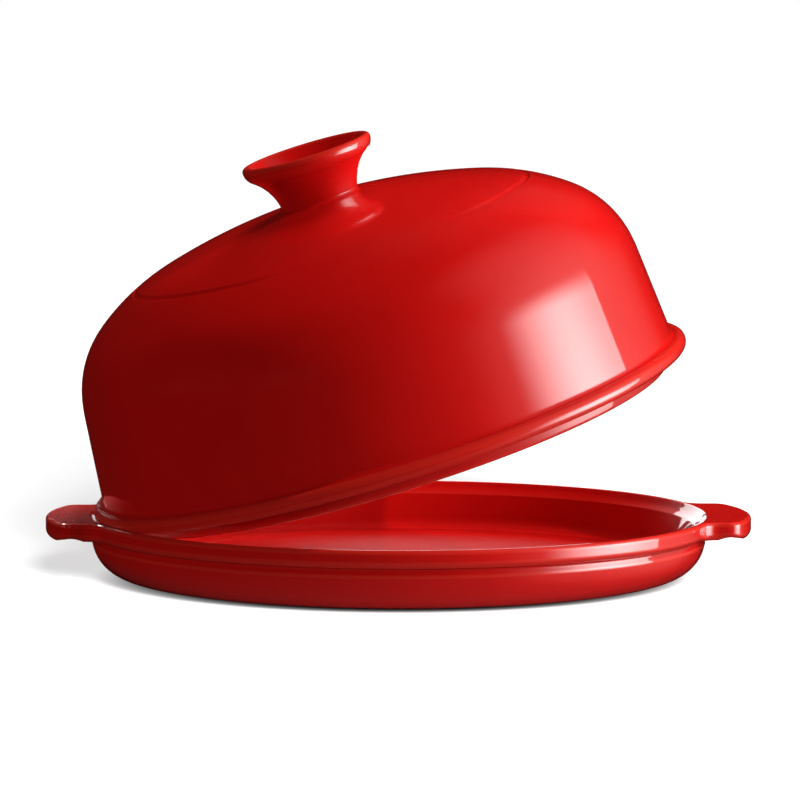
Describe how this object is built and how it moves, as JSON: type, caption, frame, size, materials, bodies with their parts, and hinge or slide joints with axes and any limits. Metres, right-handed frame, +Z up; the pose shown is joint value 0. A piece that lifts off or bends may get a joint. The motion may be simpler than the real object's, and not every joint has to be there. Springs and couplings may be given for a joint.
{
  "type": "bread cloche",
  "caption": "Glazed stoneware bread cloche: a round shallow baking dish with two ear handles and a tall domed lid with a hollow knob, shown with the lid tilted open.",
  "frame": {"origin": "the centre of the dish's foot ring, on the surface that the dish stands on", "axes": "+Z up, +X out through one ear handle, +Y across the handles; the lid's raised side points to +X"},
  "size_m": [0.34, 0.3022, 0.2157],
  "materials": {
    "red_glaze": "glossy"
  },
  "bodies": {
    "dish": {"base_dish": "red_glaze"},
    "lid": {"domed_lid": "red_glaze"}
  },
  "joints": [
    {"name": "lid_tilt", "type": "hinge", "parent": "dish", "child": "lid", "pos_m": [-0.1327, -0.02613, 0.03841], "axis": [0.1932, -0.9812, 0], "range_deg": [-17.4, 42.6]}
  ]
}
